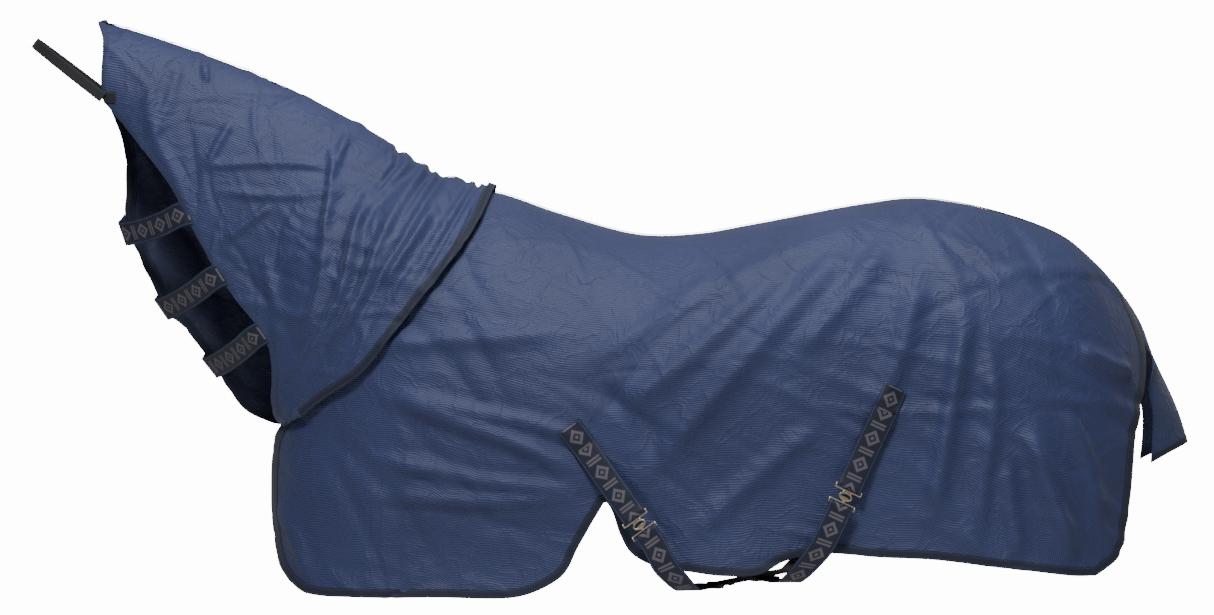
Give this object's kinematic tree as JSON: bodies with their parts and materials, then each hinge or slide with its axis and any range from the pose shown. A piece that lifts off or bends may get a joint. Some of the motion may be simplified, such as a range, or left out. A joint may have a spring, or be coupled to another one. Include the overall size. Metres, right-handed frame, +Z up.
{
  "type": "horse rug",
  "caption": "Full-neck horse rug with a gathered neck cover, hook-and-loop neck straps, chest straps, crossed belly surcingles and a tail flap.",
  "frame": {"origin": "the withers, on the middle line of the rug, where it lies on the horse's back", "axes": "+X from head to tail, +Y to the horse's far (right) side, +Z up"},
  "size_m": [2.3625, 0.7062, 1.1607],
  "materials": {
    "rug_cloth": "light knitted polyester with fine ribs, slate navy, slight sheen",
    "binding_tape": "folded woven binding and tape, darker navy",
    "strap_webbing": "50 mm woven polypropylene webbing, near-black navy with a grey woven pattern and light blue stitching",
    "clip_metal": "pale satin brass plate",
    "slider_plastic": "moulded nylon slider, matt black",
    "gather_elastic": "woven elastic, navy",
    "loop_pad": "short looped pile, black"
  },
  "bodies": {
    "rug": {"body_left_panel": "rug_cloth", "body_right_panel": "rug_cloth", "body_left_binding": "binding_tape", "body_right_binding": "binding_tape", "spine_tape": "binding_tape", "neck_yoke_left": "rug_cloth", "neck_yoke_right": "rug_cloth", "yoke_binding_left": "binding_tape", "yoke_binding_right": "binding_tape", "crest_elastic": "gather_elastic", "tail_top_panel": "rug_cloth", "chest_base_upper": "strap_webbing", "chest_base_lower": "strap_webbing", "chest_tab_upper": "strap_webbing", "chest_tab_lower": "strap_webbing", "chest_ring_upper": "clip_metal", "chest_ring_lower": "clip_metal", "belly_anchor_front": "strap_webbing", "belly_anchor_rear": "strap_webbing", "surcingle_patch_front": "strap_webbing", "surcingle_patch_rear": "strap_webbing"},
    "neck_cover": {"neck_left_panel": "rug_cloth", "neck_right_panel": "rug_cloth", "neck_binding_left": "binding_tape", "neck_binding_right": "binding_tape", "crest_tape": "binding_tape", "brow_tab_left": "strap_webbing", "brow_tab_right": "strap_webbing", "neck_loop_pad_top": "loop_pad", "neck_loop_pad_middle": "loop_pad", "neck_loop_pad_lower": "loop_pad"},
    "brow_band": {"brow_strap": "strap_webbing"},
    "top_neck_strap": {"neck_strap_top": "strap_webbing"},
    "middle_neck_strap": {"neck_strap_middle": "strap_webbing"},
    "lower_neck_strap": {"neck_strap_lower": "strap_webbing"},
    "tail_cover": {"tail_flap": "rug_cloth", "tail_flap_binding": "binding_tape"},
    "front_surcingle": {"surcingle_strap_front": "strap_webbing"},
    "front_surcingle_ring": {"surcingle_ring_front": "clip_metal"},
    "rear_surcingle": {"surcingle_strap_rear": "strap_webbing"},
    "rear_surcingle_ring": {"surcingle_ring_rear": "clip_metal"},
    "front_belly_strap": {"belly_strap_front": "strap_webbing", "belly_hook_front": "clip_metal", "belly_keeper_front": "strap_webbing"},
    "front_slider": {"belly_slider_front": "slider_plastic"},
    "rear_belly_strap": {"belly_strap_rear": "strap_webbing", "belly_hook_rear": "clip_metal", "belly_keeper_rear": "strap_webbing"},
    "rear_slider": {"belly_slider_rear": "slider_plastic"},
    "upper_chest_strap": {"chest_strap_upper": "strap_webbing", "chest_hook_upper": "clip_metal"},
    "lower_chest_strap": {"chest_strap_lower": "strap_webbing", "chest_hook_lower": "clip_metal"}
  },
  "joints": [
    {"name": "neck_tilt", "type": "hinge", "parent": "rug", "child": "neck_cover", "pos_m": [-0.41829, 0, -0.48856], "axis": [0, 1, 0], "range_deg": [-15, 0]},
    {"name": "brow_band_swing", "type": "hinge", "parent": "neck_cover", "child": "brow_band", "pos_m": [-0.78975, 0, 0.189], "axis": [0, 1, 0], "range_deg": [-40, 25]},
    {"name": "top_neck_strap_open", "type": "hinge", "parent": "neck_cover", "child": "top_neck_strap", "pos_m": [-0.61174, -0.1171, -0.04375], "axis": [-0.299, 0.0323, 0.9537], "range_deg": [0, 100]},
    {"name": "middle_neck_strap_open", "type": "hinge", "parent": "neck_cover", "child": "middle_neck_strap", "pos_m": [-0.54704, -0.12288, -0.16791], "axis": [-0.537, 0.0739, 0.8403], "range_deg": [0, 100]},
    {"name": "lower_neck_strap_open", "type": "hinge", "parent": "neck_cover", "child": "lower_neck_strap", "pos_m": [-0.46197, -0.1423, -0.28489], "axis": [-0.5857, 0.1622, 0.7941], "range_deg": [0, 100]},
    {"name": "tail_cover_lift", "type": "hinge", "parent": "rug", "child": "tail_cover", "pos_m": [1.33237, 0, -0.30205], "axis": [0, 1, 0], "range_deg": [-95, 0]},
    {"name": "front_surcingle_swing", "type": "hinge", "parent": "rug", "child": "front_surcingle", "pos_m": [0.18344, -0.31564, -0.50787], "axis": [-0.8014, 0.0913, -0.5912], "range_deg": [0, 100]},
    {"name": "front_ring_turn", "type": "hinge", "parent": "front_surcingle", "child": "front_surcingle_ring", "pos_m": [0.28001, -0.33836, -0.64229], "axis": [-0.8014, 0.0913, -0.5912], "range_deg": [0, 70]},
    {"name": "rear_surcingle_swing", "type": "hinge", "parent": "rug", "child": "rear_surcingle", "pos_m": [0.76941, -0.31134, -0.43578], "axis": [-0.9028, -0.0894, 0.4207], "range_deg": [0, 100]},
    {"name": "rear_ring_turn", "type": "hinge", "parent": "rear_surcingle", "child": "rear_surcingle_ring", "pos_m": [0.70083, -0.3289, -0.58668], "axis": [-0.9028, -0.0894, 0.4207], "range_deg": [0, 70]},
    {"name": "front_belly_drop", "type": "hinge", "parent": "rug", "child": "front_belly_strap", "pos_m": [0.70092, 0.31725, -0.6966], "axis": [1, 0, 0], "range_deg": [0, 60]},
    {"name": "rear_belly_drop", "type": "hinge", "parent": "rug", "child": "rear_belly_strap", "pos_m": [0.29872, 0.32878, -0.6966], "axis": [1, 0, 0], "range_deg": [0, 60]},
    {"name": "front_slider_slide", "type": "slide", "parent": "front_belly_strap", "child": "front_slider", "axis": [0.3912, 0.9203, 0], "range_m": [-0.04, 0.04]},
    {"name": "rear_slider_slide", "type": "slide", "parent": "rear_belly_strap", "child": "rear_slider", "axis": [-0.3755, 0.9268, 0], "range_m": [-0.04, 0.04]},
    {"name": "upper_chest_open", "type": "hinge", "parent": "rug", "child": "upper_chest_strap", "pos_m": [-0.44882, 0.05898, -0.5346], "axis": [0, 0, 1], "range_deg": [-110, 0]},
    {"name": "lower_chest_open", "type": "hinge", "parent": "rug", "child": "lower_chest_strap", "pos_m": [-0.45257, 0.04999, -0.62775], "axis": [0, 0, 1], "range_deg": [-110, 0]}
  ],
  "couplings": [
    {"joint": "rear_belly_drop", "follows": "front_belly_drop", "ratio": 1}
  ]
}
